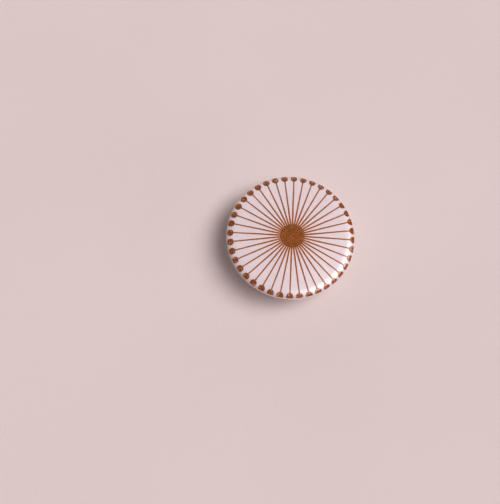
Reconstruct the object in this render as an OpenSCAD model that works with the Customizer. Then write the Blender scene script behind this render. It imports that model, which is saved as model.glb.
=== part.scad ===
// Porcelain brooch: a glazed disc with a gold sunburst on its face and a pin glued to its back.
// Millimetres. The disc's axis is +Z, the brooch stands on its pin at z = 0, and the stem runs along X.

/* [Porcelain disc] */
// Diameter of the disc at its girth
disc_d = 30; // [28:0.5:45]
// Thickness from the flat back to the top of the face
disc_t = 4; // [4:0.1:6]
// How flat the face is: one over the tangent of half its slope at the shoulder
face_flat = 60; // [45:5:120]
// Radius of the shoulder, in section
shoulder_r = 4.17; // [3.4:0.01:5]
// How flat the shoulder still is where the edge starts, measured as the face is
shoulder_flat = 4; // [3.5:0.5:5]
// Radius of the edge, in section
edge_r = 0.6; // [0.4:0.1:1]
// How flat the edge is where the underside starts, measured as the face is, under 1 where it turns under
under_flat = 0.75; // [0.6:0.05:0.9]
// Largest radius that the underside's arc may have, in section
under_most = 3.5; // [2:0.25:4]

/* [Gold] */
// Number of rays, and of dots
ray_count = 40; // [24:1:48]
// Radius of the gold field in the middle
centre_r = 2.85; // [2.5:0.05:4]
// Width of a ray
ray_w = 0.3; // [0.2:0.02:0.4]
// Radius of a dot
dot_r = 0.82; // [0.5:0.02:0.9]
// Distance from a dot's middle out to where the edge starts, along the glaze
dot_inset = 0.39; // [0.2:0.01:1.2]
// Width of the plain rim outside the gold, in plan
rim_w = 0.2; // [0.15:0.01:0.3]
// How far the pattern sits off the disc's axis
print_shift = 0.25; // [0:0.05:0.4]
// Direction of that shift, from +X, in degrees
shift_angle = -37; // [-180:1:180]
// Thickness of the gold
gold_t = 0.04; // [0.03:0.01:0.08]

/* [Brooch pin] */
// Height of the pin below the disc's back
pin_h = 5; // [4.6:0.1:6]
// Length of the bar
bar_l = 20; // [19:0.5:22]
// Width of the bar
bar_w = 5; // [4:0.5:6]
// Thickness of the bar
bar_t = 0.8; // [0.6:0.1:1]
// Distance between the knuckle and the hook
span = 15.6; // [12:0.2:16]
// Diameter of the stem
stem_d = 0.8; // [0.6:0.05:1]

/* [Hidden] */

// Clearance under the gold and between its marks
mark_gap = 0.012;
// How far cutters reach past what they cut
past = 1;
// Fineness of arcs in section, of the wide arc over the face, and of round plans
$fn = 96;
face_fn = 1440;
shoulder_fn = 360;
edge_fn = 180;
plan_fn = 240;
dot_fn = 48;

disc_r = disc_d / 2;

// The section is a chain of tangent arcs: face, shoulder and edge. Each arc's centre is worked out from
// the next arc outwards, and positions are [distance from the axis, height over the girth].
function slope_of(flat) = 2 * atan(1 / flat);
function square_to(flat) = [2 * flat, flat * flat - 1] / (flat * flat + 1);
face_slope = slope_of(face_flat);
shoulder_slope = slope_of(shoulder_flat);
edge_c = [disc_r - edge_r, 0];
shoulder_c = edge_c - (shoulder_r - edge_r) * square_to(shoulder_flat);
face_r = shoulder_c.x / square_to(face_flat).x + shoulder_r;
face_c = shoulder_c - (face_r - shoulder_r) * square_to(face_flat);
crown = face_c.y + face_r;
girth_z = pin_h + disc_t - crown;

// Distance from the axis to where the shoulder ends and the edge starts
shoulder_end = shoulder_c.x + shoulder_r * square_to(shoulder_flat).x;

// Under the girth, the edge runs on to where the underside's arc starts, and that arc ends level with the
// flat back. The arc is as wide as the height leaves room for, in quarters of a millimetre, with a short
// straight at the girth. These positions are [distance from the axis, height over the back].
depth = disc_t - crown;
straight_least = 0.02;
under_dir = square_to(under_flat);
under_room = (depth - straight_least + edge_r * under_dir.y) / (1 + under_dir.y);
under_r = min(under_most, floor(4 * under_room) / 4);
under_c = [edge_c.x - (under_r - edge_r) * under_dir.x, under_r];
low_edge_c = under_c + (under_r - edge_r) * under_dir;

// A point of the section, by the slope there
function section_arc(slope) =
    slope <= face_slope ? [face_c, face_r]
    : slope <= shoulder_slope ? [shoulder_c, shoulder_r]
    : [edge_c, edge_r];
function on_section(slope) =
    let (arc = section_arc(slope)) arc[0] + arc[1] * [sin(slope), cos(slope)];

// The slope at a distance from the axis, measured along the glaze
function arc_slope(length, radius) = length / radius * 180 / PI;
face_len = face_r * face_slope * PI / 180;
shoulder_len = shoulder_r * (shoulder_slope - face_slope) * PI / 180;
function slope_at(reach) =
    reach <= face_len ? arc_slope(reach, face_r)
    : reach <= face_len + shoulder_len ? face_slope + arc_slope(reach - face_len, shoulder_r)
    : shoulder_slope + arc_slope(reach - face_len - shoulder_len, edge_r);

// Each dot's middle, laid out round the shifted middle of the pattern: its reach from the disc's axis
// along the glaze, and its bearing
dot_reach = face_len + shoulder_len - dot_inset;
shift = print_shift * [cos(shift_angle), sin(shift_angle)];
ray_angles = [for (i = [0 : ray_count - 1]) i * 360 / ray_count];
dot_spots = [for (a = ray_angles) shift + dot_reach * [cos(a), sin(a)]];
function dot_slope(spot) = slope_at(norm(spot));
function dot_plan(spot) = on_section(dot_slope(spot)).x * spot / norm(spot);

// Knuckle that holds the stem: its width across the stem, and the width of its neck along the stem
knuckle_w = 3.6;
knuckle_neck = 2.4;
// Hook that catches the stem: its length along the stem, the width of its neck, bore and mouth
hook_l = 2.5;
hook_neck = 2.2;
hook_bore_r = 0.62;
hook_mouth = 0.9;
// Both end in a round foot, cut flat where the brooch stands, and the stem runs through their middles
foot_r = 1.25;
foot_flat = 0.12;
stem_z = foot_r - foot_flat;
// How far the stem's point runs past the hook's middle, and the point's length and end
stem_over = 1.4;
tip_l = 2.4;
tip_r = 0.12;

// One arc's part of the section, from the axis out to a distance and up from the girth
module arc_part(centre, radius, reach, fineness) {
    intersection() {
        translate(centre) circle(r = radius, $fn = fineness);
        square([reach, crown + past]);
    }
}

// Half of the disc's section over the girth, grown outwards by a distance. Each arc lies inside the one
// before it, and touches it where the two meet.
module upper_half(out) {
    arc_part(face_c, face_r + out, face_c.x + (face_r + out) * square_to(face_flat).x, face_fn);
    arc_part(shoulder_c, shoulder_r + out,
        shoulder_c.x + (shoulder_r + out) * square_to(shoulder_flat).x, shoulder_fn);
    arc_part(edge_c, edge_r + out, disc_r + past, edge_fn);
}

// Half of the section under the girth: a short straight, the edge and the underside's arc, with blocks
// that fill the inside of each
module lower_half() {
    under_top = under_c.y + under_r * under_dir.y;
    translate([0, -depth]) {
        square([under_c.x, depth]);
        translate([0, under_top]) square([low_edge_c.x, depth - under_top]);
        translate([0, low_edge_c.y]) square([disc_r, depth - low_edge_c.y]);
        intersection() {
            translate(low_edge_c) circle(r = edge_r, $fn = edge_fn);
            square([disc_r, low_edge_c.y]);
        }
        intersection() {
            translate(under_c) circle(r = under_r, $fn = shoulder_fn);
            square([disc_r, under_top]);
        }
    }
}

module porcelain_disc() {
    color("white") translate([0, 0, girth_z]) rotate_extrude($fn = plan_fn) {
        upper_half(0);
        lower_half();
    }
}

// The thin skin over the glaze that the gold marks are cut from, out to a distance from the axis. It is
// turned by half a step, so that its seam never runs along a ray.
module gold_skin(reach) {
    translate([0, 0, girth_z]) rotate([0, 0, 180 / ray_count]) rotate_extrude($fn = plan_fn) intersection() {
        difference() {
            upper_half(mark_gap + gold_t);
            upper_half(mark_gap);
        }
        square([reach, crown + past]);
    }
}

// A round mark's cutter, square to the glaze at the mark's middle
module dot_cutter(spot, radius) {
    slope = dot_slope(spot);
    at = on_section(slope);
    rotate([0, 0, atan2(spot.y, spot.x)]) translate([at.x, 0, girth_z + at.y]) rotate([0, slope, 0])
        cylinder(h = past, r = radius, center = true, $fn = dot_fn);
}

module centre_cutter(radius) {
    translate([shift.x, shift.y, girth_z]) cylinder(h = crown + past, r = radius);
}

// A ray's cutter, from just inside the rim of the gold field to the middle of the ray's dot
module ray_cutter(spot) {
    run = dot_plan(spot) - shift;
    root = centre_r - ray_w;
    translate([shift.x, shift.y, girth_z]) rotate([0, 0, atan2(run.y, run.x)])
        translate([root, -ray_w / 2, 0]) cube([norm(run) - root, ray_w, crown + past]);
}

module gilt_centre() {
    color("peru") intersection() {
        gold_skin(shoulder_end);
        centre_cutter(centre_r);
    }
}

module gilt_rays() {
    color("peru") difference() {
        intersection() {
            gold_skin(shoulder_end);
            for (spot = dot_spots) ray_cutter(spot);
        }
        centre_cutter(centre_r + mark_gap);
        for (spot = dot_spots) dot_cutter(spot, dot_r + mark_gap);
    }
}

// The skin ends at the plain rim, so the outer sides of some dots are cut off there
module gilt_dots() {
    color("peru") intersection() {
        gold_skin(disc_r - rim_w);
        for (spot = dot_spots) dot_cutter(spot, dot_r);
    }
}

// The bar that is glued to the porcelain, with round ends
module bar() {
    translate([0, 0, pin_h - bar_t]) linear_extrude(bar_t) {
        for (side = [-1, 1]) translate([side * (bar_l - bar_w) / 2, 0]) circle(d = bar_w);
        square([bar_l - bar_w, bar_w], center = true);
    }
}

// Outline of the knuckle or the hook: a round foot about the stem, and a neck up into the bar
module foot_outline(neck) {
    intersection() {
        union() {
            translate([0, stem_z]) circle(r = foot_r);
            translate([-neck / 2, stem_z]) square([neck, pin_h - bar_t / 2 - stem_z]);
        }
        translate([-foot_r, 0]) square([2 * foot_r, pin_h]);
    }
}

module knuckle() {
    translate([-span / 2, knuckle_w / 2, 0]) rotate([90, 0, 0]) linear_extrude(knuckle_w)
        foot_outline(knuckle_neck);
}

module stem() {
    shank = span + stem_over - tip_l;
    translate([-span / 2, 0, stem_z]) rotate([0, 90, 0]) {
        cylinder(h = shank, d = stem_d);
        translate([0, 0, shank]) cylinder(h = tip_l, r1 = stem_d / 2, r2 = tip_r);
    }
}

// The hook, bored along the stem and open to the side, so that the stem springs in and out
module hook() {
    translate([span / 2, 0, 0]) difference() {
        translate([-hook_l / 2, 0, 0]) rotate([90, 0, 90]) linear_extrude(hook_l) foot_outline(hook_neck);
        translate([-hook_l, 0, stem_z]) rotate([0, 90, 0]) cylinder(h = 2 * hook_l, r = hook_bore_r);
        translate([-hook_l, 0, stem_z - hook_mouth / 2]) cube([2 * hook_l, foot_r + past, hook_mouth]);
    }
}

module pin_back() {
    color("silver") {
        bar();
        knuckle();
        stem();
        hook();
    }
}

porcelain_disc();
gilt_centre();
gilt_rays();
gilt_dots();
pin_back();
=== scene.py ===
"""Looks of a round porcelain brooch: its glazed disc, its gold sunburst and the pin on its back.

Every length is in metres, in the part's own frame: +Z out of the decorated face, with the
pin's feet at z = 0. A place on the decoration is given on the print, which is the glaze laid
flat: the distance from the disc's axis is measured along the glaze, and bearings stay as they are.
"""

import logging
import math
import random
from collections.abc import Mapping, Sequence
from dataclasses import dataclass
from enum import Enum

import bmesh
import bpy
import numpy as np
from mathutils import Matrix, Vector


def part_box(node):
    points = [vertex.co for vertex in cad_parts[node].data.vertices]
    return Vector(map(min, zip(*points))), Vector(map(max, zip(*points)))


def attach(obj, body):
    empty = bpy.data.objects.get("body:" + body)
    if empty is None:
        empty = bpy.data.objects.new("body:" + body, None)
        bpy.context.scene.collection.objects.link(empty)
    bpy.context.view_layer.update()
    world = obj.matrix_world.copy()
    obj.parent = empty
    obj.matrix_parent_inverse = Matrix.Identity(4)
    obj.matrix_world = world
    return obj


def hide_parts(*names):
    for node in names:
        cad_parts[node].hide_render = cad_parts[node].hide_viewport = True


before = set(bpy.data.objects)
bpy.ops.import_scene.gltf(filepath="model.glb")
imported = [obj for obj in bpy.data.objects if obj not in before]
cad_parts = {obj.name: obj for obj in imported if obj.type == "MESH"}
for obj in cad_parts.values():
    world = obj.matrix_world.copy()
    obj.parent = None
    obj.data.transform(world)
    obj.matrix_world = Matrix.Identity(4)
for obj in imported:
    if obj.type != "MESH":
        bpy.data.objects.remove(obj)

MM = 0.001
BODY = "root"
PICTURE = (500, 504)
FILM_INNER = "film_inner"

log = logging.getLogger("brooch")
Socket = bpy.types.NodeSocket
Value = Socket | float | Sequence[float]
Colour = tuple[float, float, float, float]
Direction = tuple[float, float, float]
Span = tuple[float, float]


class Slot(Enum):
    """The record's material slots."""

    PORCELAIN = "porcelain"
    GOLD = "gold_lustre"
    METAL = "pin_metal"


class Graph:
    """A node tree under construction, in a material, a world or a node group."""

    def __init__(self, tree: bpy.types.NodeTree) -> None:
        """Args: tree: The tree that the nodes are added to."""
        self.tree = tree

    def node(
        self, kind: str, inputs: Mapping[str | int, Value] | None = None, **settings: object
    ) -> bpy.types.Node:
        """Adds a node.

        Args:
            kind: The node's type, without the leading "ShaderNode".
            inputs: A socket to link or a plain value for each input, by name or number.
            settings: The node's own properties.

        Returns:
            The new node.
        """
        made = self.tree.nodes.new("ShaderNode" + kind)
        for name, value in settings.items():
            setattr(made, name, value)
        self.feed(made, inputs or {})
        return made

    def feed(self, node: bpy.types.Node, inputs: Mapping[str | int, Value]) -> None:
        """Sets a node's inputs.

        Args:
            node: The node.
            inputs: A socket to link or a plain value for each input, by name or number.
        """
        for key, value in inputs.items():
            if isinstance(value, Socket):
                self.tree.links.new(value, node.inputs[key])
            else:
                node.inputs[key].default_value = value

    def math(self, operation: str, first: Value, second: Value = 0.0) -> Socket:
        """Args: operation, first, second: A Math node's. Returns: Its result."""
        return self.node("Math", {0: first, 1: second}, operation=operation).outputs[0]

    def span(
        self, value: Value, low: float, high: float, to_low: float = 0.0, to_high: float = 1.0
    ) -> Socket:
        """Args: value: Read between low and high. Returns: It, moved smoothly to to_low and to_high."""
        inputs = {"Value": value, "From Min": low, "From Max": high, "To Min": to_low, "To Max": to_high}
        return self.node("MapRange", inputs, interpolation_type="SMOOTHSTEP").outputs["Result"]

    def blend(self, share: Value, first: Value, second: Value) -> Socket:
        """Args: share: How much of the second. first, second: Colours. Returns: The two, mixed."""
        return self.node("Mix", {0: share, 6: first, 7: second}, data_type="RGBA").outputs[2]

    def place(self) -> Socket:
        """Returns: The place on the surface, in the part's own frame."""
        return self.node("TexCoord").outputs["Object"]

    def off_axis(self) -> Socket:
        """Returns: The distance of that place from the disc's axis."""
        flat = self.node("VectorMath", {0: self.place(), 1: (1.0, 1.0, 0.0)}, operation="MULTIPLY")
        return self.node("VectorMath", {0: flat.outputs[0]}, operation="LENGTH").outputs["Value"]

    def use(self, effect: type["Effect"], inputs: Mapping[str, Value]) -> Mapping[str, Socket]:
        """Args: effect: A shared effect. inputs: Its inputs. Returns: Its outputs."""
        return self.node("Group", inputs, node_tree=effect.tree()).outputs


class Effect:
    """A shader node group that several materials share, made the first time it is asked for."""

    name: str = ""
    takes: Mapping[str, float] = {}
    gives: Sequence[str] = ()

    @classmethod
    def tree(cls) -> bpy.types.NodeTree:
        """Finds or makes the node group.

        Returns:
            The node group, with its sockets named as takes and gives say.
        """
        found = bpy.data.node_groups.get(cls.name)
        if found:
            return found
        made = bpy.data.node_groups.new(cls.name, "ShaderNodeTree")
        for name, value in cls.takes.items():
            socket = made.interface.new_socket(name, in_out="INPUT", socket_type="NodeSocketFloat")
            socket.default_value = value
        for name in cls.gives:
            made.interface.new_socket(name, in_out="OUTPUT", socket_type="NodeSocketFloat")
        graph = Graph(made)
        start = made.nodes.new("NodeGroupInput").outputs
        end = made.nodes.new("NodeGroupOutput").inputs
        for name, value in cls.build(graph, start).items():
            made.links.new(value, end[name])
        return made

    @classmethod
    def build(cls, graph: Graph, start: Mapping[str, Socket]) -> dict[str, Socket]:
        """Args: graph: The group's graph. start: Its inputs. Returns: A socket for each output."""
        raise NotImplementedError


class Mottle(Effect):
    """Soft clouds and a fine grain, each about 0 to 1 with a middle of a half."""

    name = "mottle"
    takes = {"Cloud Size": 4 * MM, "Grain Size": 0.2 * MM}
    gives = ("Clouds", "Grain")
    # Between which values of the noise each of the two goes from 0 to 1
    cloud_reach: Span = (0.28, 0.72)
    grain_reach: Span = (0.25, 0.75)

    @classmethod
    def build(cls, graph: Graph, start: Mapping[str, Socket]) -> dict[str, Socket]:
        """Lays two sizes of noise.

        Args:
            graph: The group's graph.
            start: Its inputs.

        Returns:
            A socket for each output.
        """
        place = graph.place()
        cloud_scale = graph.math("DIVIDE", 1.0, start["Cloud Size"])
        grain_scale = graph.math("DIVIDE", 1.0, start["Grain Size"])
        coarse = {"Vector": place, "Scale": cloud_scale, "Detail": 2.0, "Roughness": 0.5}
        fine = {"Vector": place, "Scale": grain_scale, "Detail": 2.0, "Roughness": 0.6}
        clouds = graph.node("TexNoise", coarse)
        grain = graph.node("TexNoise", fine)
        return {
            "Clouds": graph.span(clouds.outputs["Fac"], *cls.cloud_reach),
            "Grain": graph.span(grain.outputs["Fac"], *cls.grain_reach),
        }


class Pinholes(Effect):
    """Sparse tiny round spots: 1 inside a spot and 0 outside."""

    name = "pinholes"
    takes = {"Spacing": 0.5 * MM, "Size": 0.05 * MM}
    gives = ("Spots",)
    # Which share of the cells has no spot
    empty: float = 0.45

    @classmethod
    def build(cls, graph: Graph, start: Mapping[str, Socket]) -> dict[str, Socket]:
        """Puts a spot into about half of the cells.

        Args:
            graph: The group's graph.
            start: Its inputs.

        Returns:
            A socket for each output.
        """
        scale = graph.math("DIVIDE", 1.0, start["Spacing"])
        cells = graph.node("TexVoronoi", {"Vector": graph.place(), "Scale": scale})
        off = graph.math("MULTIPLY", cells.outputs["Distance"], start["Spacing"])
        chance = graph.node("SeparateColor", {0: cells.outputs["Color"]}).outputs["Red"]
        reach = graph.math("MULTIPLY", start["Size"], graph.span(chance, cls.empty, 1.0))
        return {"Spots": graph.math("LESS_THAN", off, reach)}


class Streaks(Effect):
    """Fine marks that run along X, as brushing or drawing leaves them, about 0 to 1."""

    name = "streaks"
    takes = {"Length": 4 * MM, "Width": 0.08 * MM}
    gives = ("Marks",)
    mark_reach: Span = (0.3, 0.7)

    @classmethod
    def build(cls, graph: Graph, start: Mapping[str, Socket]) -> dict[str, Socket]:
        """Stretches a noise along X.

        Args:
            graph: The group's graph.
            start: Its inputs.

        Returns:
            A socket for each output.
        """
        along = graph.math("DIVIDE", 1.0, start["Length"])
        across = graph.math("DIVIDE", 1.0, start["Width"])
        stretch = graph.node("CombineXYZ", {0: along, 1: across, 2: across}).outputs[0]
        place = graph.node("VectorMath", {0: graph.place(), 1: stretch}, operation="MULTIPLY").outputs[0]
        marks = graph.node("TexNoise", {"Vector": place, "Scale": 1.0, "Detail": 3.0, "Roughness": 0.65})
        return {"Marks": graph.span(marks.outputs["Fac"], *cls.mark_reach)}


def new_material(name: str) -> tuple[bpy.types.Material, Graph, bpy.types.Node]:
    """Starts a material.

    Args:
        name: The material's name.

    Returns:
        The material, its graph and its shader.
    """
    material = bpy.data.materials.new(name)
    material.use_nodes = True
    graph = Graph(material.node_tree)
    shader = material.node_tree.nodes["Principled BSDF"]
    return material, graph, shader


def paint(red: float, green: float, blue: float) -> Colour:
    """Args: red, green, blue: A linear colour. Returns: The colour with full alpha."""
    return (red, green, blue, 1.0)


@dataclass(frozen=True)
class ClearGlaze:
    """Glossy clear glaze on lilac-white porcelain, with the bare body on the flat back."""

    # How far from the axis the back is bare, how high the back is, and where the glaze pools
    bare_r: float
    back_z: float
    pool_r: float
    body: Colour = paint(0.80, 0.735, 0.78)
    warm: Colour = paint(0.86, 0.76, 0.765)
    pooled: Colour = paint(0.70, 0.58, 0.565)
    bisque: Colour = paint(0.79, 0.72, 0.66)
    bisque_dark: Colour = paint(0.70, 0.63, 0.57)
    # The glaze's line on the back: how far it wavers, how wide it is, and how high over the back it fades
    line_waver: float = 0.5 * MM
    line_w: float = 0.12 * MM
    line_rise: Span = (0.02 * MM, 0.06 * MM)
    # Where the pool starts and where it is full, counted from pool_r
    pool_fade: Span = (-0.6 * MM, 0.2 * MM)
    # How rough the glaze is, from its smoothest to its roughest, and how the bare body shines
    gloss: Span = (0.17, 0.24)
    bare_roughness: float = 0.75
    bare_specular: float = 0.5
    # How high the glaze's ripples are, how much of them is grain, and how high the bare body's tooth is
    ripple_h: float = 0.0016 * MM
    ripple_grain: float = 0.12
    tooth_h: float = 0.012 * MM

    def bareness(self, graph: Graph, off_axis: Socket, clouds: Socket) -> Socket:
        """Finds where the body is bare: the glaze stops in a wavy line just inside the flat back.

        Args:
            graph: The material's graph.
            off_axis: The distance from the axis.
            clouds: What makes the line waver.

        Returns:
            1 on the bare body and 0 on the glaze.
        """
        height = graph.node("SeparateXYZ", {0: graph.place()}).outputs["Z"]
        low = graph.span(height, *(self.back_z + rise for rise in self.line_rise), 1.0, 0.0)
        waver = graph.math("MULTIPLY", graph.math("SUBTRACT", clouds, 0.5), self.line_waver)
        inward = graph.math("SUBTRACT", self.bare_r, graph.math("ADD", off_axis, waver))
        return graph.math("MULTIPLY", low, graph.span(inward, 0.0, self.line_w))

    def material(self) -> bpy.types.Material:
        """Builds the finish.

        Returns:
            The finished material.
        """
        material, graph, shader = new_material("clear_glaze")
        mottle = graph.use(Mottle, {"Cloud Size": 3.5 * MM, "Grain Size": 0.12 * MM})
        ripple = graph.use(Mottle, {"Cloud Size": 1.3 * MM, "Grain Size": 0.35 * MM})
        off_axis = graph.off_axis()
        bare = self.bareness(graph, off_axis, mottle["Clouds"])
        pool = graph.span(off_axis, *(self.pool_r + shift for shift in self.pool_fade))

        glazed = graph.blend(ripple["Clouds"], self.body, self.warm)
        glazed = graph.blend(pool, glazed, self.pooled)
        biscuit = graph.blend(mottle["Grain"], self.bisque, self.bisque_dark)
        gloss = graph.span(ripple["Clouds"], 0.0, 1.0, *self.gloss)
        fine = graph.math("MULTIPLY", ripple["Grain"], self.ripple_grain)
        ripples = graph.math("ADD", ripple["Clouds"], fine)
        tooth = graph.math("MULTIPLY", mottle["Grain"], bare)
        smooth = graph.node("Bump", {"Height": ripples, "Distance": self.ripple_h}).outputs[0]
        bump = graph.node("Bump", {"Height": tooth, "Distance": self.tooth_h, "Normal": smooth})
        graph.feed(shader, {
            "Base Color": graph.blend(bare, glazed, biscuit),
            "Roughness": graph.node("Mix", {0: bare, 2: gloss, 3: self.bare_roughness}).outputs[0],
            "Normal": bump.outputs[0],
            "Coat Weight": graph.math("SUBTRACT", 1.0, bare),
            "Coat Roughness": 0.19,
            "Coat IOR": 1.7,
            "IOR": 1.5,
            "Specular IOR Level": graph.math("MULTIPLY", bare, self.bare_specular),
            "Subsurface Weight": 0.12,
            "Subsurface Radius": (1.0, 0.8, 0.7),
            "Subsurface Scale": 0.6 * MM,
        })
        return material


@dataclass(frozen=True)
class GoldLustre:
    """Fired bronze-gold lustre: a satin and slightly grainy metal film, laid very thinly, with painted light
    and painted reflections on its dots.

    A vertex's film_inner is 0 on a mark's outline, 1 well inside it, and 2 all over a ray.
    """

    rich: Colour = paint(0.400, 0.133, 0.036)
    deep: Colour = paint(0.122, 0.036, 0.007)
    stroke: Colour = paint(0.360, 0.106, 0.001)
    bright: Colour = paint(0.34, 0.078, 0.006)
    rim: Colour = paint(0.19, 0.054, 0.008)
    glaze: Colour = paint(0.84, 0.72, 0.72)
    # Painted reflections on the dots: the pale colour for glints of bright surroundings, the next one for
    # reflected dark surroundings
    pale: Colour = paint(0.78, 0.50, 0.33)
    dark_glint: Colour = paint(0.030, 0.012, 0.006)
    # Where the dots start and where their brighter tone, painted light, flecks and stronger coat are full,
    # as distances from the axis
    dot_zone_reach: Span = (13.5 * MM, 14.2 * MM)
    # How much of the dots is the bright colour, which is partly a more orange lustre and partly painted
    # light that makes up for the shoulder turning away from the light; how much of the tone is grain, and of
    # the film is metal
    dot_light_share: float = 0.7
    grain_share: float = 0.88
    metal_share: float = 0.08
    # Between which tones the film goes from rich to deep
    tone_reach: Span = (0.15, 0.85)
    # The dots' pale flecks are painted reflection of bright surroundings and lie where the clouds are high;
    # their dark flecks are painted reflection of dark surroundings and lie where the grain is low.
    pale_glint_reach: Span = (0.68, 0.98)
    pale_glint_share: float = 0.7
    dark_glint_reach: Span = (0.17, 0.36)
    dark_glint_share: float = 0.9
    # How much of the glaze shows in a pinhole
    worn: float = 0.6
    # How rough the film is, from its smoothest to its roughest, and how deep its dimples are
    satin: Span = (0.24, 0.42)
    dimple_h: float = 0.014 * MM
    # How strong the coat is, on the face and on the dots
    coat: Span = (0.2, 0.8)

    def colour(self, graph: Graph, uneven: Socket) -> Socket:
        """Lays the film's tones and its outline, and on the dots painted light and flecks of painted
        reflection.

        Args:
            graph: The material's graph.
            uneven: 0 on the face and 1 where the dots lie.

        Returns:
            The film's colour.
        """
        inner = graph.node("Attribute", attribute_name=FILM_INNER).outputs["Fac"]
        mottle = graph.use(Mottle, {"Cloud Size": 0.8 * MM, "Grain Size": 0.22 * MM})
        specks = graph.use(Mottle, {"Cloud Size": 0.40 * MM, "Grain Size": 0.22 * MM})
        inside = graph.span(inner, 0.0, 1.0)
        tone = graph.math(
            "ADD",
            graph.math("MULTIPLY", mottle["Clouds"], 1.0 - self.grain_share),
            graph.math("MULTIPLY", mottle["Grain"], self.grain_share),
        )
        film = graph.blend(graph.span(tone, *self.tone_reach), self.rich, self.deep)
        film = graph.blend(graph.span(inner, 1.0, 2.0), film, self.stroke)
        # Painted light: the dots are brightened, partly for their more orange lustre and partly to make up
        # for the shoulder turning away from the light.
        film = graph.blend(graph.math("MULTIPLY", uneven, self.dot_light_share), film, self.bright)
        film = graph.blend(inside, self.rim, film)
        # Painted reflection: pale flecks on the dots stand for glints of bright surroundings.
        pale_glint = graph.span(specks["Clouds"], *self.pale_glint_reach, 0.0, self.pale_glint_share)
        # Painted reflection: dark flecks on the dots stand for reflected dark surroundings.
        thick = graph.span(specks["Grain"], *self.dark_glint_reach, self.dark_glint_share, 0.0)
        pale = graph.math("MULTIPLY", graph.math("MULTIPLY", pale_glint, uneven), inside)
        film = graph.blend(pale, film, self.pale)
        return graph.blend(graph.math("MULTIPLY", thick, uneven), film, self.dark_glint)

    def material(self) -> bpy.types.Material:
        """Builds the finish.

        Returns:
            The finished material.
        """
        material, graph, shader = new_material("gold_lustre")
        uneven = graph.span(graph.off_axis(), *self.dot_zone_reach)
        dimples = graph.use(Mottle, {"Cloud Size": 0.42 * MM, "Grain Size": 0.10 * MM})
        holes = graph.use(Pinholes, {"Spacing": 0.30 * MM, "Size": 0.045 * MM})["Spots"]
        wear = graph.math("MULTIPLY", holes, self.worn)
        bump = graph.node("Bump", {"Height": dimples["Clouds"], "Distance": self.dimple_h})
        graph.feed(shader, {
            "Base Color": graph.blend(wear, self.colour(graph, uneven), self.glaze),
            "Metallic": graph.math("MULTIPLY", graph.math("SUBTRACT", 1.0, wear), self.metal_share),
            "Specular IOR Level": 0.0,
            "Roughness": graph.span(dimples["Grain"], 0.0, 1.0, *self.satin),
            "Normal": bump.outputs[0],
            "Coat Weight": graph.span(uneven, 0.0, 1.0, *self.coat),
            "Coat Roughness": 0.07,
            "Coat IOR": 1.75,
        })
        return material


@dataclass(frozen=True)
class PlatedSteel:
    """Nickel-plated steel, drawn along X and faintly brushed."""

    bright: Colour = paint(0.66, 0.645, 0.615)
    dull: Colour = paint(0.50, 0.485, 0.46)
    # How much of the tone is streaks and how much is clouds
    streak_share: float = 0.4
    cloud_share: float = 0.5
    # How rough the plating is, where streaks and grain together go from the one sum to the other
    satin: Span = (0.20, 0.36)
    satin_reach: Span = (0.3, 1.7)
    streak_h: float = 0.0015 * MM

    def material(self) -> bpy.types.Material:
        """Builds the finish.

        Returns:
            The finished material.
        """
        material, graph, shader = new_material("plated_steel")
        marks = graph.use(Streaks, {"Length": 5 * MM, "Width": 0.07 * MM})["Marks"]
        mottle = graph.use(Mottle, {"Cloud Size": 2.5 * MM, "Grain Size": 0.15 * MM})
        cloudy = graph.math("MULTIPLY", mottle["Clouds"], self.cloud_share)
        tone = graph.math("ADD", graph.math("MULTIPLY", marks, self.streak_share), cloudy)
        rough = graph.math("ADD", marks, mottle["Grain"])
        graph.feed(shader, {
            "Base Color": graph.blend(tone, self.bright, self.dull),
            "Metallic": 1.0,
            "Roughness": graph.span(rough, *self.satin_reach, *self.satin),
            "Normal": graph.node("Bump", {"Height": marks, "Distance": self.streak_h}).outputs[0],
        })
        return material


@dataclass(frozen=True)
class PaleFloor:
    """Plain matt floor in a pale warm grey."""

    light: Colour = paint(0.76, 0.68, 0.66)
    shade: Colour = paint(0.74, 0.66, 0.64)
    grain_h: float = 0.02 * MM

    def material(self) -> bpy.types.Material:
        """Builds the finish.

        Returns:
            The finished material.
        """
        material, graph, shader = new_material("pale_floor")
        mottle = graph.use(Mottle, {"Cloud Size": 60 * MM, "Grain Size": 0.8 * MM})
        graph.feed(shader, {
            "Base Color": graph.blend(mottle["Clouds"], self.light, self.shade),
            "Roughness": 0.85,
            "Normal": graph.node("Bump", {"Height": mottle["Grain"], "Distance": self.grain_h}).outputs[0],
        })
        return material


@dataclass(frozen=True)
class Arc:
    """A round stretch of the disc's section, between two slopes in radians from level."""

    x: float
    z: float
    radius: float
    start: float
    end: float

    def length(self) -> float:
        """Returns: The stretch's length."""
        return self.radius * (self.end - self.start)

    def points(self, steps: int) -> list[tuple[float, float]]:
        """Args: steps: How many points. Returns: Points after the start, up to the end."""
        slopes = [self.start + (self.end - self.start) * (i + 1) / steps for i in range(steps)]
        return [(self.x + self.radius * math.sin(s), self.z + self.radius * math.cos(s)) for s in slopes]


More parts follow.
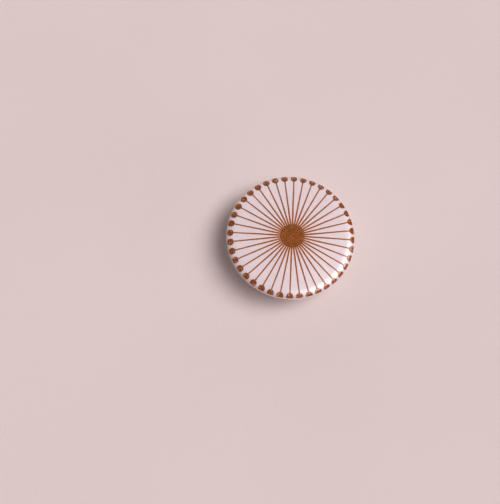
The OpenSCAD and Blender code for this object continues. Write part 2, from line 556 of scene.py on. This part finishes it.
@dataclass(frozen=True)
class DiscSection:
    """The porcelain disc's section: tangent arcs for the face, the shoulder, the edge and the underside."""

    radius: float
    top: float
    back: float
    # How flat the face, the shoulder and the edge are where they end: one over the tangent of half the slope
    face_flat: float = 60.0
    shoulder_flat: float = 4.0
    under_flat: float = 0.75
    shoulder_r: float = 4.17 * MM
    edge_r: float = 0.6 * MM
    under_r: float = 3.5 * MM

    def arcs(self) -> list[Arc]:
        """Works the arcs out from the edge inwards.

        Returns:
            The face, the shoulder, the edge above and below the girth, and the underside.
        """
        face_slope = 2 * math.atan(1 / self.face_flat)
        shoulder_slope = 2 * math.atan(1 / self.shoulder_flat)
        under_slope = 2 * math.atan(1 / self.under_flat)
        edge_x = self.radius - self.edge_r
        inward = self.shoulder_r - self.edge_r
        shoulder_x = edge_x - inward * math.sin(shoulder_slope)
        face_r = shoulder_x / math.sin(face_slope) + self.shoulder_r
        face_z = self.top - face_r
        shoulder_z = face_z + (face_r - self.shoulder_r) * math.cos(face_slope)
        girth = shoulder_z + inward * math.cos(shoulder_slope)
        under_in = self.under_r - self.edge_r
        under_x = edge_x - under_in * math.sin(under_slope)
        under_z = self.back + self.under_r
        low_z = under_z + under_in * math.cos(under_slope)
        return [
            Arc(0.0, face_z, face_r, 0.0, face_slope),
            Arc(shoulder_x, shoulder_z, self.shoulder_r, face_slope, shoulder_slope),
            Arc(edge_x, girth, self.edge_r, shoulder_slope, math.pi / 2),
            Arc(edge_x, low_z, self.edge_r, math.pi / 2, under_slope),
            Arc(under_x, under_z, self.under_r, under_slope, math.pi),
        ]

    def shoulder_end(self) -> float:
        """Returns: The distance from the axis to the shoulder's end, along the glaze."""
        face, shoulder, *_ = self.arcs()
        return face.length() + shoulder.length()

    def edge_reach(self, rim: float) -> float:
        """Finds how far out a plain rim starts.

        Args:
            rim: The rim's width in from the girth, in plan.

        Returns:
            The distance from the axis, along the glaze.
        """
        edge = self.arcs()[2]
        slope = math.asin((edge.radius - rim) / edge.radius)
        return self.shoulder_end() + edge.radius * (slope - edge.start)

    def lay(self, prints: np.ndarray, lift: np.ndarray) -> np.ndarray:
        """Lays places of the print on the glaze.

        Args:
            prints: Places on the print, an array of pairs.
            lift: How far each place stands off the glaze.

        Returns:
            The points in the part's frame, an array of triples.
        """
        face, shoulder, edge, *_ = self.arcs()
        reach = np.hypot(prints[:, 0], prints[:, 1])
        turn = np.arctan2(prints[:, 1], prints[:, 0])
        arc_x, arc_z, arc_r, slope = (np.zeros_like(reach) for _ in range(4))
        begun = 0.0
        for arc in (face, shoulder, edge):
            here = reach >= begun
            arc_x[here], arc_z[here], arc_r[here] = arc.x, arc.z, arc.radius
            slope[here] = arc.start + (reach[here] - begun) / arc.radius
            begun += arc.length()
        out = arc_x + (arc_r + lift) * np.sin(slope)
        up = arc_z + (arc_r + lift) * np.cos(slope)
        return np.stack([out * np.cos(turn), out * np.sin(turn), up], axis=1)


def all_round(count: int) -> np.ndarray:
    """Args: count: How many. Returns: So many even turns, counter-clockwise from +X."""
    return np.linspace(0, math.tau, count, endpoint=False)


def heading(bearing: float) -> np.ndarray:
    """Args: bearing: A bearing from +X. Returns: The direction that way on the print."""
    return np.array([math.cos(bearing), math.sin(bearing)])


class Shell:
    """Vertices, faces and a value for each vertex, gathered into one closed mesh."""

    def __init__(self) -> None:
        """Starts an empty shell."""
        self.points: list[np.ndarray] = []
        self.values: list[np.ndarray] = []
        self.faces: list[tuple[int, ...]] = []
        self.count = 0

    def add(self, points: np.ndarray, values: np.ndarray) -> int:
        """Adds vertices.

        Args:
            points: The new vertices.
            values: Their values.

        Returns:
            The first one's number.
        """
        first = self.count
        self.points.append(points)
        self.values.append(values)
        self.count += len(points)
        return first

    def band(self, first: int, second: int, size: int) -> None:
        """Joins two rows of vertices, which run all the way round, with quads.

        Args:
            first: The number of the first row's first vertex.
            second: The number of the second row's first vertex.
            size: How many vertices a row has.
        """
        for i in range(size):
            j = (i + 1) % size
            self.faces.append((first + i, first + j, second + j, second + i))

    def fan(self, tip: int, row: int, size: int, outward: bool) -> None:
        """Closes a row of vertices with triangles.

        Args:
            tip: The number of the vertex in the middle.
            row: The number of the row's first vertex.
            size: How many vertices the row has.
            outward: Whether the row runs counter-clockwise, seen from outside.
        """
        for i in range(size):
            j = (i + 1) % size
            pair = (row + i, row + j) if outward else (row + j, row + i)
            self.faces.append((tip, *pair))

    def build(self, name: str, value_name: str | None = None) -> bpy.types.Object:
        """Makes the mesh object.

        Args:
            name: The piece's name.
            value_name: The name under which a material reads the values.

        Returns:
            The object, smoothly shaded.
        """
        mesh = bpy.data.meshes.new(name)
        mesh.from_pydata(np.concatenate(self.points).tolist(), [], self.faces)
        if value_name:
            stored = mesh.attributes.new(value_name, "FLOAT", "POINT")
            stored.data.foreach_set("value", np.concatenate(self.values).astype(np.float32))
        mesh.shade_smooth()
        mesh.update()
        piece = bpy.data.objects.new(name, mesh)
        bpy.context.scene.collection.objects.link(piece)
        return piece


def settle(
    piece: bpy.types.Object, material: bpy.types.Material, slot: Slot, *nodes: str
) -> bpy.types.Object:
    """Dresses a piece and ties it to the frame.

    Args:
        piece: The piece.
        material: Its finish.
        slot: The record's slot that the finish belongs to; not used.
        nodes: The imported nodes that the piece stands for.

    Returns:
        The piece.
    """
    piece.data.materials.append(material)
    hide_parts(*nodes)
    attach(piece, BODY)
    return piece


@dataclass(frozen=True)
class PorcelainDisc:
    """The glazed disc, revolved from its section."""

    section: DiscSection
    around: int = 360
    face_rings: int = 26
    shoulder_rings: int = 26
    edge_rings: int = 22
    low_rings: int = 8
    under_rings: int = 26
    back_rings: int = 12
    # How far from the axis the back is bare, and where the glaze pools over the edge
    bare_r: float = 11.5 * MM
    pool_r: float = 14.6 * MM

    def rings(self) -> list[tuple[float, float]]:
        """Draws the section.

        Returns:
            Its points, from the crown round to the back, without those on the axis.
        """
        face, shoulder, edge, low, under = self.section.arcs()
        line = face.points(self.face_rings) + shoulder.points(self.shoulder_rings)
        line += edge.points(self.edge_rings)
        line += [(self.section.radius, low.z)]
        line += low.points(self.low_rings) + under.points(self.under_rings)
        line += [(under.x * (1 - i / self.back_rings), self.section.back) for i in range(1, self.back_rings)]
        return line

    def build(self) -> bpy.types.Object:
        """Turns the section round the axis.

        Returns:
            The disc's object.
        """
        shell = Shell()
        turns = all_round(self.around)
        rows = []
        for x, z in self.rings():
            points = np.stack([x * np.cos(turns), x * np.sin(turns), np.full_like(turns, z)], axis=1)
            rows.append(shell.add(points, np.zeros(self.around)))
        for outer, inner in zip(rows[1:], rows):
            shell.band(outer, inner, self.around)
        crown = shell.add(np.array([[0.0, 0.0, self.section.top]]), np.zeros(1))
        heel = shell.add(np.array([[0.0, 0.0, self.section.back]]), np.zeros(1))
        shell.fan(crown, rows[0], self.around, outward=True)
        shell.fan(heel, rows[-1], self.around, outward=False)
        return shell.build("glazed_disc")

    def dress(self) -> list[bpy.types.Object]:
        """Returns: The disc with its glaze."""
        glaze = ClearGlaze(self.bare_r, self.section.back, self.pool_r)
        return [settle(self.build(), glaze.material(), Slot.PORCELAIN, "porcelain_disc")]


@dataclass(frozen=True)
class Film:
    """How thick the gold lies: clear of the glaze, and rounded off along its outline."""

    clear: float = 0.012 * MM
    thick: float = 0.036 * MM
    # How much of its thickness the film has on its outline, and how far in it has all of it
    outline_share: float = 0.25
    round_off: float = 0.02 * MM
    # How wide the darker outline is
    rim_w: float = 0.09 * MM

    def lift(self, inset: np.ndarray) -> np.ndarray:
        """Rounds the film off.

        Args:
            inset: Distances in from the outline.

        Returns:
            How high the film's top is there over the glaze.
        """
        share = 1 - np.clip(inset / self.round_off, 0, 1)
        rise = self.outline_share + (1 - self.outline_share) * np.sqrt(1 - share ** 2)
        return self.clear + self.thick * rise

    def inner(self, inset: np.ndarray) -> np.ndarray:
        """Args: inset: Distances in from the outline. Returns: 0 on the outline and 1 well inside."""
        return np.clip(inset / self.rim_w, 0, 1)


class Waver:
    """A smooth random line made of a few sines, for outlines that a brush or a print leaves."""

    def __init__(self, draw: random.Random, lowest: int, highest: int) -> None:
        """Args: draw: The source of chance. lowest, highest: Its slowest and fastest wave, per turn."""
        self.waves = [(n, draw.uniform(0, math.tau), draw.gauss(0, 1)) for n in range(lowest, highest + 1)]
        self.size = math.sqrt(len(self.waves) / 2)

    def at(self, turn: np.ndarray) -> np.ndarray:
        """Args: turn: Places along the line, 2 pi to a turn. Returns: Its height, about 1 in size."""
        return sum(a * np.sin(n * turn + p) for n, p, a in self.waves) / self.size

    def kept(self, turn: np.ndarray) -> np.ndarray:
        """Args: turn: Places along the line. Returns: Its height, held between -2 and 2."""
        return np.clip(self.at(turn), -2, 2)


@dataclass(frozen=True)
class Sunburst:
    """The gold decoration: a round field, straight rays and the dots at their ends."""

    section: DiscSection
    film: Film = Film()
    rays: int = 40
    centre_r: float = 2.85 * MM
    ray_w: float = 0.30 * MM
    dot_r: float = 0.82 * MM
    dot_inset: float = 0.39 * MM
    rim_w: float = 0.2 * MM
    shift: float = 0.25 * MM
    shift_angle: float = math.radians(-37)
    gap: float = 0.012 * MM
    # How far the gold keeps inside its solids: round the centre, round the dots, and at the plain rim
    centre_inset: float = 0.012 * MM
    dot_shrink: float = 0.02 * MM
    rim_clear: float = 0.01 * MM
    # How far the rays' sides stand out at the root and, less than nothing, at the dot
    spread_root: float = 0.043 * MM
    spread_tip: float = -0.010 * MM
    # How far a ray swells at either end, and how far along it the swelling reaches
    root_swell: Span = (0.014 * MM, 0.16 * MM)
    tip_swell: Span = (0.045 * MM, 0.12 * MM)
    # How uneven the marks are: the outlines waver, and the dots vary in place and size
    centre_waver: float = 0.006 * MM
    ray_waver: float = 0.006 * MM
    dot_waver: float = 0.010 * MM
    dot_slip: float = 0.012 * MM
    dot_vary: float = 0.008 * MM
    # How wide the corner is where the plain rim cuts a dot
    corner: float = 0.05 * MM
    # How many vertices run round a mark and how many rings it has, how many rows a ray has, and where
    # a row's vertices lie, as shares of its half width
    centre_mesh: tuple[int, int] = (240, 16)
    dot_mesh: tuple[int, int] = (64, 9)
    stations: int = 72
    across: tuple[float, ...] = (-1.0, -0.9, -0.8, -0.4, 0.0, 0.4, 0.8, 0.9, 1.0)
    seed: int = 7

    def middle(self) -> np.ndarray:
        """Returns: The pattern's middle on the print."""
        return self.shift * heading(self.shift_angle)

    def dot_reach(self) -> float:
        """Returns: The distance from the pattern's middle to a dot's middle."""
        return self.section.shoulder_end() - self.dot_inset

    def bearings(self) -> list[float]:
        """Returns: The rays' bearings."""
        return [math.tau * i / self.rays for i in range(self.rays)]

    def blot(
        self, shell: Shell, spot: np.ndarray, outline: np.ndarray, turns: np.ndarray, rings: int
    ) -> None:
        """Adds one round mark to a shell.

        Args:
            shell: The shell that the mark joins.
            spot: The mark's middle on the print.
            outline: The outline's distance from the middle, at each turn.
            turns: The turns, counter-clockwise.
            rings: How many rings of vertices the top has.
        """
        spokes = np.stack([np.cos(turns), np.sin(turns)], axis=1)
        shares = [math.sin(math.pi / 2 * (i + 1) / rings) for i in range(rings)]
        inset = np.array([outline.min()])
        tip = shell.add(self.section.lay(spot[None, :], self.film.lift(inset)), self.film.inner(inset))
        rows = []
        for share in shares:
            inset = outline * (1 - share)
            points = self.section.lay(spot + spokes * (outline * share)[:, None], self.film.lift(inset))
            rows.append(shell.add(points, self.film.inner(inset)))
        # The underside follows the glaze, from the outline in.
        for share in (1.0, 0.5):
            under = np.full_like(outline, self.film.clear)
            points = self.section.lay(spot + spokes * (outline * share)[:, None], under)
            rows.append(shell.add(points, np.zeros(len(turns))))
        heel = shell.add(self.section.lay(spot[None, :], np.array([self.film.clear])), np.zeros(1))
        shell.fan(tip, rows[0], len(turns), outward=True)
        for inner, outer in zip(rows, rows[1:]):
            shell.band(outer, inner, len(turns))
        shell.fan(heel, rows[-1], len(turns), outward=False)

    def centre(self) -> bpy.types.Object:
        """Builds the round field in the middle.

        Returns:
            Its object.
        """
        around, rings = self.centre_mesh
        turns = all_round(around)
        waver = Waver(random.Random(self.seed), 5, 30)
        outline = self.centre_r - self.centre_inset + self.centre_waver * waver.kept(turns)
        shell = Shell()
        self.blot(shell, self.middle(), outline, turns, rings)
        return shell.build("gold_centre", FILM_INNER)

    def dots(self) -> bpy.types.Object:
        """Builds the dots, cut off at the plain rim.

        Returns:
            Their object.
        """
        around, rings = self.dot_mesh
        draw = random.Random(self.seed + 1)
        end = self.section.edge_reach(self.rim_w) - self.rim_clear
        turns = all_round(around)
        shell = Shell()
        for bearing in self.bearings():
            slip = np.array([draw.gauss(0, self.dot_slip), draw.gauss(0, self.dot_slip)])
            spot = self.middle() + self.dot_reach() * heading(bearing) + slip
            far = float(np.hypot(*spot))
            outward = math.atan2(spot[1], spot[0])
            along = np.cos(turns - outward)
            cut = -far * along + np.sqrt((far * along) ** 2 - far ** 2 + end ** 2)
            waver = Waver(draw, 2, 7)
            size = self.dot_r - self.dot_shrink + draw.gauss(0, self.dot_vary)
            round_r = size + self.dot_waver * waver.kept(turns)
            self.blot(shell, spot, soft_min(round_r, cut, self.corner), turns, rings)
        return shell.build("gold_dots", FILM_INNER)

    def half_width(self, share: np.ndarray, reach: np.ndarray, draw: random.Random) -> np.ndarray:
        """Half of a ray's width, a little uneven, wider at its root and swelling at both ends.

        Args:
            share: Places along the ray, 0 at its root and 1 at its dot.
            reach: The same places as distances from the pattern's middle.
            draw: The source of chance.

        Returns:
            The half width at each place.
        """
        even = self.ray_w / 2 + self.spread_root + (self.spread_tip - self.spread_root) * share
        uneven = self.ray_waver * Waver(draw, 2, 16).kept(share * math.tau)
        root = self.root_swell[0] * np.exp((reach[0] - reach) / self.root_swell[1])
        tip = self.tip_swell[0] * np.exp((reach - reach[-1]) / self.tip_swell[1])
        return even + uneven + root + tip

    def streak(self, shell: Shell, bearing: float, draw: random.Random) -> None:
        """Adds one ray to a shell, a narrow strip with a rounded top.

        Args:
            shell: The shell that the ray joins.
            bearing: The ray's bearing.
            draw: The source of chance.
        """
        across = np.array(self.across)
        width = len(across)
        share = np.linspace(0, 1, self.stations)
        start = self.centre_r + self.gap
        stop = self.dot_reach() - self.dot_r - self.gap
        reach = start + (stop - start) * share
        ahead = heading(bearing)
        side = np.array([-ahead[1], ahead[0]])
        drift = self.ray_waver * Waver(draw, 1, 4).at(share * math.pi)
        half = self.half_width(share, reach, draw)
        rows = []
        for i in range(self.stations):
            middle = self.middle() + ahead * reach[i] + side * drift[i]
            offset = half[i] * across
            inset = half[i] - np.abs(offset)
            under = offset[::-1]
            places = np.concatenate([middle + side * offset[:, None], middle + side * under[:, None]])
            lifts = np.concatenate([self.film.lift(inset), np.full(width, self.film.clear)])
            rows.append(shell.add(self.section.lay(places, lifts), np.repeat([2.0, 0.0], width)))
        for near, far in zip(rows, rows[1:]):
            shell.band(near, far, 2 * width)
        shell.faces.append(tuple(rows[0] + i for i in reversed(range(2 * width))))
        shell.faces.append(tuple(rows[-1] + i for i in range(2 * width)))

    def streaks(self) -> bpy.types.Object:
        """Builds the rays.

        Returns:
            Their object.
        """
        draw = random.Random(self.seed + 2)
        shell = Shell()
        for bearing in self.bearings():
            self.streak(shell, bearing, draw)
        return shell.build("gold_rays", FILM_INNER)

    def dress(self) -> list[bpy.types.Object]:
        """Builds the three marks and gives them their lustre.

        Returns:
            The marks.
        """
        lustre = GoldLustre().material()
        return [
            settle(self.centre(), lustre, Slot.GOLD, "gilt_centre"),
            settle(self.streaks(), lustre, Slot.GOLD, "gilt_rays"),
            settle(self.dots(), lustre, Slot.GOLD, "gilt_dots"),
        ]


def soft_min(first: np.ndarray, second: np.ndarray, blend: float) -> np.ndarray:
    """Args: first, second: Two lines. blend: How wide a corner is rounded. Returns: The lower line."""
    share = np.clip(0.5 + 0.5 * (second - first) / blend, 0, 1)
    return second * (1 - share) + first * share - blend * share * (1 - share)


@dataclass(frozen=True)
class BroochPin:
    """The pin on the back, with its edges eased."""

    edge_r: float = 0.10 * MM
    edge_steps: int = 3
    # Edges sharper than the first angle are eased, faces within the second one are joined, and so are
    # vertices at one place.
    sharp: float = math.radians(35)
    level: float = math.radians(0.5)
    same_place: float = 0.0005 * MM

    def build(self) -> bpy.types.Object:
        """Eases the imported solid's edges.

        Returns:
            The pin's object.
        """
        shape = bmesh.new()
        shape.from_mesh(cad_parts["pin_back"].data)
        bmesh.ops.remove_doubles(shape, verts=shape.verts, dist=self.same_place)
        bmesh.ops.dissolve_limit(
            shape, angle_limit=self.level, verts=shape.verts, edges=shape.edges, delimit=set()
        )
        hard = [e for e in shape.edges if len(e.link_faces) == 2 and e.calc_face_angle() > self.sharp]
        bmesh.ops.bevel(
            shape, geom=hard, offset=self.edge_r, segments=self.edge_steps, profile=0.5,
            affect="EDGES", clamp_overlap=True,
        )
        mesh = bpy.data.meshes.new("clasp_pin")
        shape.to_mesh(mesh)
        shape.free()
        mesh.shade_smooth()
        piece = bpy.data.objects.new("clasp_pin", mesh)
        bpy.context.scene.collection.objects.link(piece)
        return piece

    def dress(self) -> list[bpy.types.Object]:
        """Returns: The pin with its plating."""
        return [settle(self.build(), PlatedSteel().material(), Slot.METAL, "pin_back")]


@dataclass(frozen=True)
class Studio:
    """Plain floor, soft light and the camera, all set round the sunburst's middle."""

    target: Vector
    floor_r: float = 3.0
    floor_sides: int = 96
    # The camera's side and height, and its distance from the sunburst's middle
    bearing: float = 255.26
    from_above: float = 18.9
    distance: float = 167.3 * MM
    lens: float = 51.6
    sensor: float = 36.0
    # Where the brooch's near side points in the picture, counter-clockwise from the right
    near_turn: float = -107.5
    # Where the sunburst's middle falls in the picture, in pixels from its left and top edges
    aim: tuple[float, float] = (292.07, 235.80)
    clip_start: float = 5 * MM
    # The sky is dim, a little paler towards its near side, and dark low down. Here and below, a pair says
    # where something fades in: heights go from 0 at the horizon to 1 overhead, and sides likewise.
    sky_far: Colour = paint(0.10, 0.084, 0.084)
    sky_near: Colour = paint(0.18, 0.162, 0.167)
    sky_near_side: Direction = (0.66, 0.35, 0.66)
    sky_near_fade: Span = (-0.7, 1.0)
    horizon: Colour = paint(0.03, 0.025, 0.025)
    horizon_fade: Span = (0.30, 0.72)
    # A pale wall stands low on the far side.
    wall: Colour = paint(0.72, 0.645, 0.63)
    wall_side: Direction = (-0.39, 0.92, 0.0)
    wall_spread: Span = (0.20, 0.85)
    wall_top: Span = (0.40, 0.60)
    # The key is a broad window with soft edges, cut off on one side, with a low glow beyond.
    key: Colour = paint(8.0, 7.25, 7.37)
    key_bearing: float = -6.0
    key_from_above: float = 32.0
    key_reach: Span = (30.0, 7.0)
    key_side: Direction = (0.80, -0.60, 0.0)
    key_cut: Span = (0.54, 0.64)
    low_glow: Colour = paint(1.7, 1.55, 1.57)
    low_glow_spread: Span = (0.50, 0.95)
    low_glow_top: Span = (0.25, 0.40)

    def floor(self) -> None:
        """Lays the floor."""
        mesh = bpy.data.meshes.new("floor")
        turns = all_round(self.floor_sides)
        outline = [(self.floor_r * math.cos(t), self.floor_r * math.sin(t), 0.0) for t in turns]
        mesh.from_pydata(outline, [], [tuple(range(self.floor_sides))])
        mesh.materials.append(PaleFloor().material())
        ground = bpy.data.objects.new("floor", mesh)
        bpy.context.scene.collection.objects.link(ground)

    @staticmethod
    def facing(graph: Graph, direction: Sequence[float]) -> Socket:
        """Args: graph: The sky's graph. direction: Where to. Returns: 1 that way, -1 behind."""
        towards = graph.node("TexCoord").outputs["Generated"]
        return graph.node("VectorMath", {0: towards, 1: direction}, operation="DOT_PRODUCT").outputs["Value"]

    def key_share(self, graph: Graph) -> Socket:
        """Shapes the key.

        Args:
            graph: The sky's graph.

        Returns:
            1 well inside the key and 0 outside.
        """
        turn, tilt = math.radians(self.key_bearing), math.radians(self.key_from_above)
        middle = (math.cos(turn) * math.sin(tilt), math.sin(turn) * math.sin(tilt), math.cos(tilt))
        rim, core = (math.cos(math.radians(a)) for a in self.key_reach)
        cut = graph.span(self.facing(graph, self.key_side), *self.key_cut, 1.0, 0.0)
        return graph.math("MULTIPLY", graph.span(self.facing(graph, middle), rim, core), cut)

    def light(self) -> None:
        """Sets the sky, which gives all of the light."""
        world = bpy.data.worlds.new("studio")
        bpy.context.scene.world = world
        world.use_nodes = True
        graph = Graph(world.node_tree)
        height = self.facing(graph, (0.0, 0.0, 1.0))
        nearness = graph.span(self.facing(graph, self.sky_near_side), *self.sky_near_fade)
        sky = graph.blend(nearness, self.sky_far, self.sky_near)
        sky = graph.blend(graph.span(height, *self.horizon_fade), self.horizon, sky)
        sky = graph.blend(self.key_share(graph), sky, self.key)
        beyond_cut = graph.span(self.facing(graph, self.key_side), *self.low_glow_spread)
        under_glow = graph.span(height, *self.low_glow_top, 1.0, 0.0)
        sky = graph.blend(graph.math("MULTIPLY", under_glow, beyond_cut), sky, self.low_glow)
        far_side = graph.span(self.facing(graph, self.wall_side), *self.wall_spread)
        under_top = graph.span(height, *self.wall_top, 1.0, 0.0)
        sky = graph.blend(graph.math("MULTIPLY", under_top, far_side), sky, self.wall)
        background = world.node_tree.nodes["Background"]
        graph.tree.links.new(sky, background.inputs["Color"])
        background.inputs["Strength"].default_value = 1.0

    def camera(self) -> None:
        """Places the camera as the picture was taken."""
        turn, tilt = math.radians(self.bearing), math.radians(self.from_above)
        near = Vector((math.cos(turn), math.sin(turn), 0.0))
        back = near * math.sin(tilt) + Vector((0.0, 0.0, math.cos(tilt)))
        down = near * math.cos(tilt) - Vector((0.0, 0.0, math.sin(tilt)))
        across = back.cross(down)
        roll = math.radians(self.near_turn)
        right = down * math.cos(roll) - across * math.sin(roll)
        up = down * math.sin(roll) + across * math.cos(roll)
        local = Matrix((right, up, back)).transposed()
        focal = self.lens / self.sensor * max(PICTURE)
        offset = Vector((self.aim[0] - PICTURE[0] / 2, PICTURE[1] / 2 - self.aim[1], -focal)).normalized()
        swing = Vector((0.0, 0.0, -1.0)).rotation_difference(offset).to_matrix()
        data = bpy.data.cameras.new("camera")
        data.lens = self.lens
        data.sensor_width = self.sensor
        data.clip_start = self.clip_start
        seer = bpy.data.objects.new("camera", data)
        seer.matrix_world = (local @ swing.transposed()).to_4x4()
        seer.location = self.target + back * self.distance
        bpy.context.scene.collection.objects.link(seer)
        bpy.context.scene.camera = seer

    def build(self) -> None:
        """Sets the whole studio up."""
        self.camera()
        self.floor()
        self.light()
        bpy.context.scene.view_settings.view_transform = "Standard"


def main() -> None:
    """Builds the brooch's pieces and the studio."""
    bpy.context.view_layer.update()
    low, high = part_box("porcelain_disc")
    section = DiscSection(radius=min(high.x - low.x, high.y - low.y) / 2, top=high.z, back=low.z)
    sunburst = Sunburst(section)
    middle = sunburst.section.lay(sunburst.middle()[None, :], np.zeros(1))[0]
    Studio(Vector(middle)).build()
    for part in (PorcelainDisc(section), sunburst, BroochPin()):
        for piece in part.dress():
            log.info("%s: %d faces", piece.name, len(piece.data.polygons))


if __name__ == "__main__":
    logging.basicConfig(level=logging.INFO)
    main()
